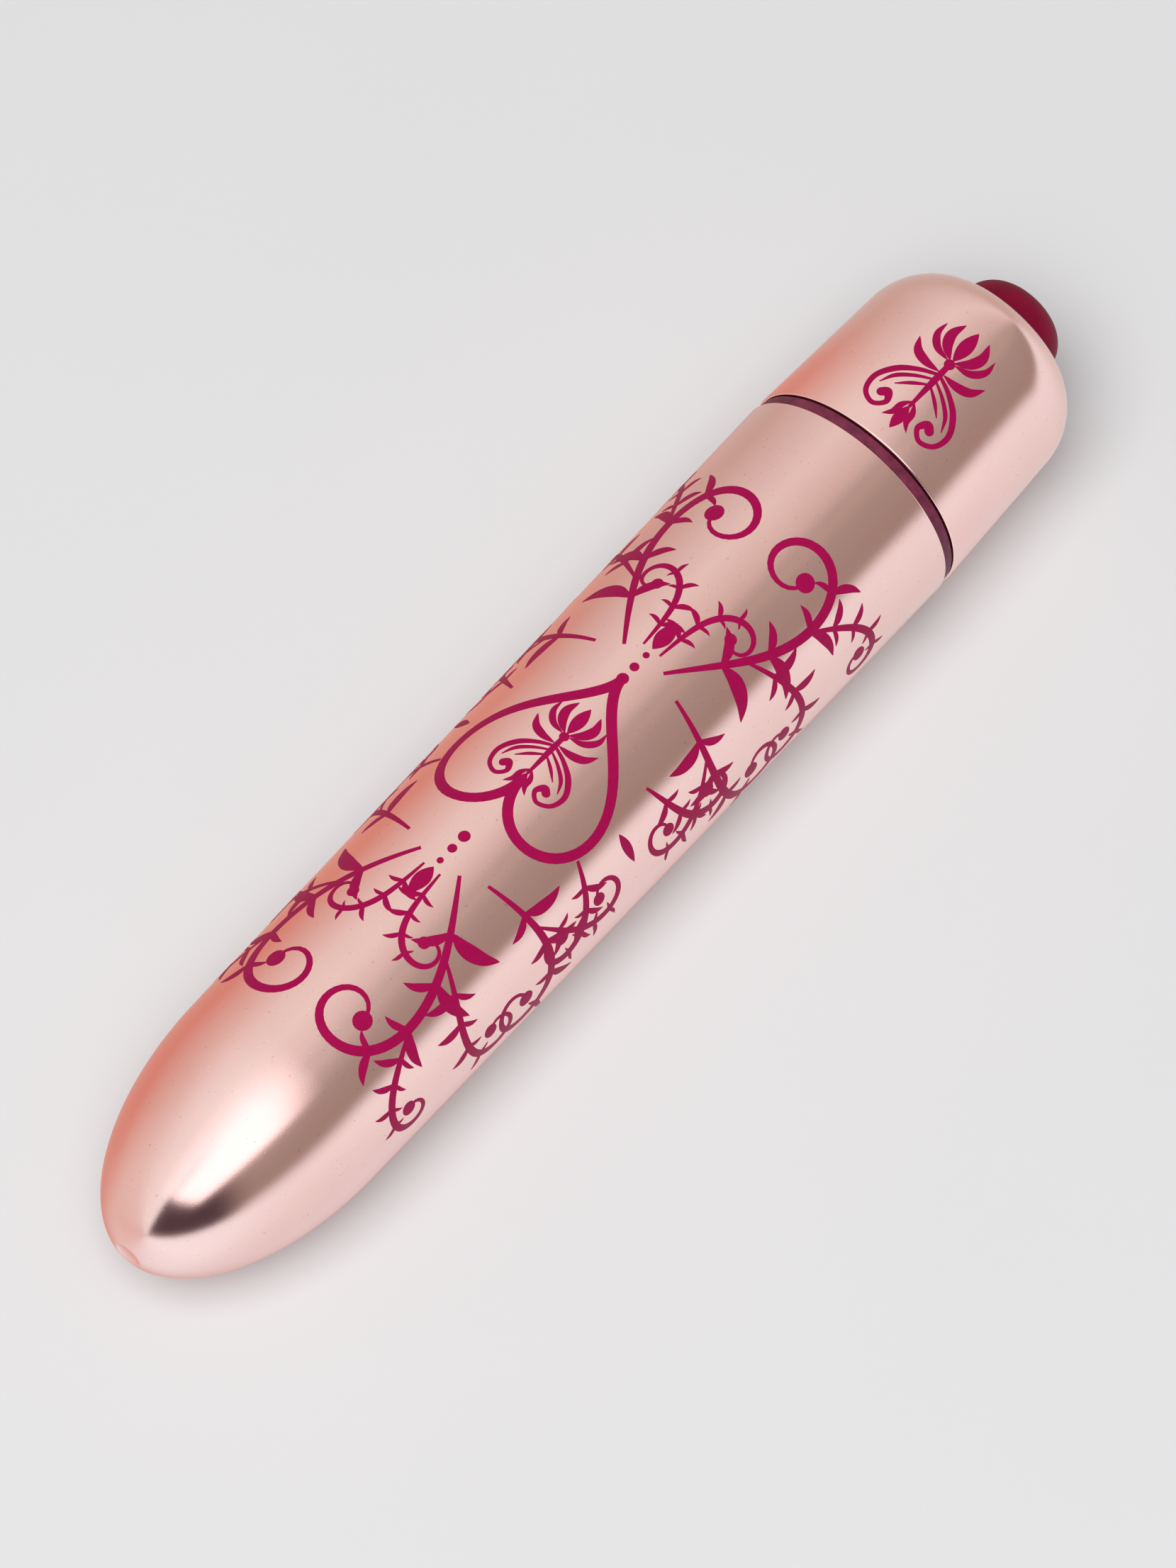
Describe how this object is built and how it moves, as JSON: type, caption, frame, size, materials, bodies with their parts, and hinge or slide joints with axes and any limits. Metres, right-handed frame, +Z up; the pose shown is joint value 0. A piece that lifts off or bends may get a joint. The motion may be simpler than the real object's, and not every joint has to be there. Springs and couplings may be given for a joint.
{
  "type": "bullet massager",
  "caption": "slim battery bullet massager: rounded rose-gold body, seal ring, screw-off end cap with a domed push button, AAA cell and eccentric-weight motor inside",
  "frame": {"origin": "centre of the bounding box's bottom, on the surface the object lies on", "axes": "+X runs along the long axis from the rounded nose to the push button, +Z is up as it lies, +Y is across"},
  "size_m": [0.12, 0.0226, 0.0225],
  "materials": {
    "rose_gold_shell": "satin metallised plastic, rose gold",
    "crimson_button": "matt soft-touch crimson",
    "burgundy_rubber": "matt burgundy elastomer",
    "black_plastic": "moulded, fine texture",
    "chip_black": "moulded epoxy",
    "white_plastic": "natural moulded",
    "brass_contact": "stamped, bright",
    "grey_rubber": "matt elastomer",
    "bright_steel": "plated",
    "bronze_bush": "sintered",
    "ferrite": "matt sintered",
    "carbon_brush": "matt",
    "red_insulation": "extruded",
    "black_insulation": "extruded",
    "copper_wire": "enamelled copper",
    "tungsten_weight": "sintered heavy alloy",
    "cell_label": "printed film, no text",
    "circuit_board": "green solder mask",
    "ceramic_chip": "fired, tinned ends"
  },
  "bodies": {
    "body": {"body_shell": "rose_gold_shell", "thread_collar": "black_plastic", "seal_ring": "burgundy_rubber", "battery_tube": "white_plastic", "nose_contact_plate": "brass_contact", "return_contact": "brass_contact", "motor_sleeve": "grey_rubber", "motor_can": "bright_steel", "motor_end_bell": "black_plastic", "front_bush": "bronze_bush", "rear_bush": "bronze_bush", "magnet_upper": "ferrite", "brush_upper": "carbon_brush", "terminal_upper": "brass_contact", "magnet_lower": "ferrite", "brush_lower": "carbon_brush", "terminal_lower": "brass_contact", "positive_lead": "red_insulation", "return_lead": "black_insulation"},
    "rotor": {"motor_shaft": "bright_steel", "armature_core": "bright_steel", "winding_1": "copper_wire", "winding_2": "copper_wire", "winding_3": "copper_wire", "commutator": "copper_wire", "eccentric_weight": "tungsten_weight"},
    "battery": {"cell_can": "bright_steel", "cell_jacket": "cell_label", "cell_insulator": "white_plastic", "cell_positive_nub": "bright_steel"},
    "cap": {"cap_shell": "rose_gold_shell", "cap_liner": "black_plastic", "circuit_board": "circuit_board", "cap_spring": "bright_steel", "cap_contact_ring": "brass_contact", "board_retaining_ring": "bright_steel", "switch_body": "black_plastic", "controller_chip": "chip_black", "drive_transistor": "chip_black", "resistor_1": "ceramic_chip", "resistor_2": "ceramic_chip", "capacitor": "ceramic_chip", "button_seal": "grey_rubber"},
    "button": {"push_button": "crimson_button", "switch_plunger": "white_plastic"}
  },
  "joints": [
    {"name": "cell_slide", "type": "slide", "parent": "body", "child": "battery", "axis": [1, 0, 0], "range_m": [0, 0.048]},
    {"name": "cap_turn", "type": "hinge", "parent": "battery", "child": "cap", "pos_m": [0.04, 0, 0.01125], "axis": [1, 0, 0], "range_deg": [0, 2881]},
    {"name": "button_press", "type": "slide", "parent": "cap", "child": "button", "axis": [-1, 0, 0], "range_m": [0, 0.0008], "stiffness_N_per_m": 1500, "springref_m": -0.0002},
    {"name": "rotor_spin", "type": "hinge", "parent": "body", "child": "rotor", "pos_m": [-0.03, 0, 0.01125], "axis": [1, 0, 0], "continuous": true}
  ],
  "couplings": [
    {"joint": "cap_turn", "follows": "cell_slide", "rad_per_m": 1047.2}
  ]
}
